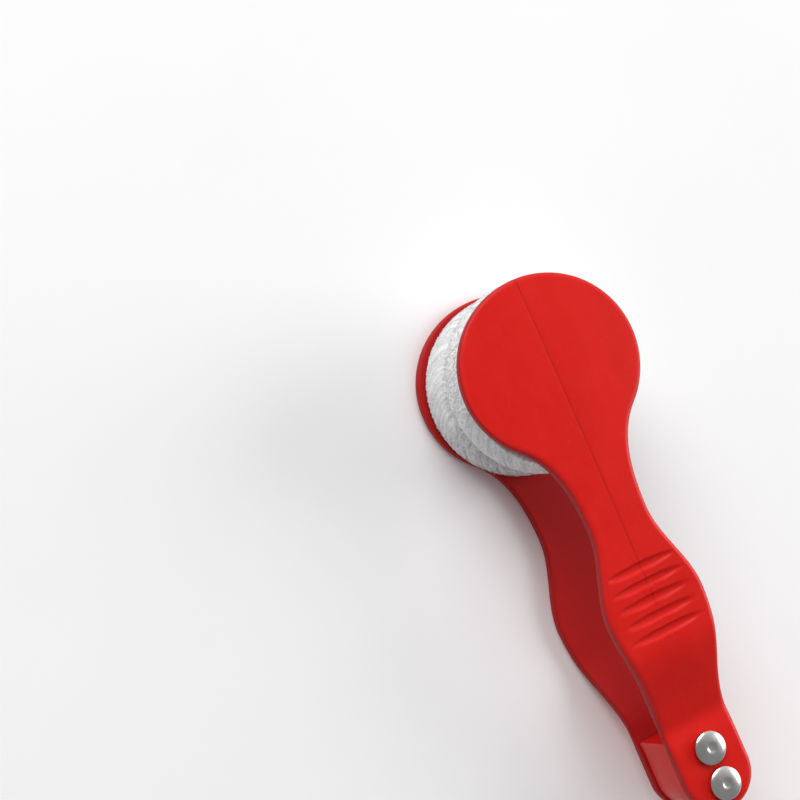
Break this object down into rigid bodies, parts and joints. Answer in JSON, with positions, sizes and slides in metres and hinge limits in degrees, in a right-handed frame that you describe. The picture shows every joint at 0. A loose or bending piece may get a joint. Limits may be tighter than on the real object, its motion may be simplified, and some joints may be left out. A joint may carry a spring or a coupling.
{
  "type": "squeeze lens cleaner",
  "caption": "Tweezer-like eyeglass lens cleaner: spoon-shaped plastic arms with round plush pads that face each other, sprung open from a riveted tail with a key ring.",
  "frame": {"origin": "on the back arm's flat outer face, where the pads' common axis meets it", "axes": "+X along the tool from the heads to the tail, +Z from the back arm to the front arm along the pads' axis, +Y across the arms"},
  "size_m": [0.0936, 0.024, 0.017],
  "materials": {
    "red_plastic": "satin gloss, moulded",
    "white_plush": "short dense microfibre nap",
    "white_foam": "open-cell foam",
    "backing_plastic": "matt, moulded",
    "foam_tape": "matt adhesive tape",
    "nickel_steel": "nickel-plated"
  },
  "bodies": {
    "back_arm": {"back_arm": "red_plastic", "back_pad_tape": "foam_tape", "back_pad_disc": "backing_plastic", "back_pad_foam": "white_foam", "back_pad_cover": "white_plush"},
    "tail": {"back_arm_root": "red_plastic", "front_arm_root": "red_plastic", "tail_block": "red_plastic", "tail_rivet_1": "nickel_steel", "tail_rivet_2": "nickel_steel"},
    "front_arm": {"front_arm": "red_plastic", "front_pad_tape": "foam_tape", "front_pad_disc": "backing_plastic", "front_pad_foam": "white_foam", "front_pad_cover": "white_plush"},
    "key_ring": {"key_ring": "nickel_steel"}
  },
  "joints": [
    {"name": "back_arm_flex", "type": "hinge", "parent": "back_arm", "child": "tail", "pos_m": [0.046, 0, 0.004], "axis": [0, 1, 0], "range_deg": [-0.5, 3.8], "stiffness_Nm_per_rad": 0.7, "springref_deg": 3.8},
    {"name": "front_arm_flex", "type": "hinge", "parent": "tail", "child": "front_arm", "pos_m": [0.046, 0, 0.013], "axis": [0, 1, 0], "range_deg": [-0.5, 3.8], "stiffness_Nm_per_rad": 0.7, "springref_deg": 3.8},
    {"name": "key_ring_swing", "type": "hinge", "parent": "tail", "child": "key_ring", "pos_m": [0.0604, 0, 0.0085], "axis": [0, 1, 0], "range_deg": [-165, 125]}
  ],
  "couplings": [
    {"joint": "front_arm_flex", "follows": "back_arm_flex", "ratio": 1}
  ]
}
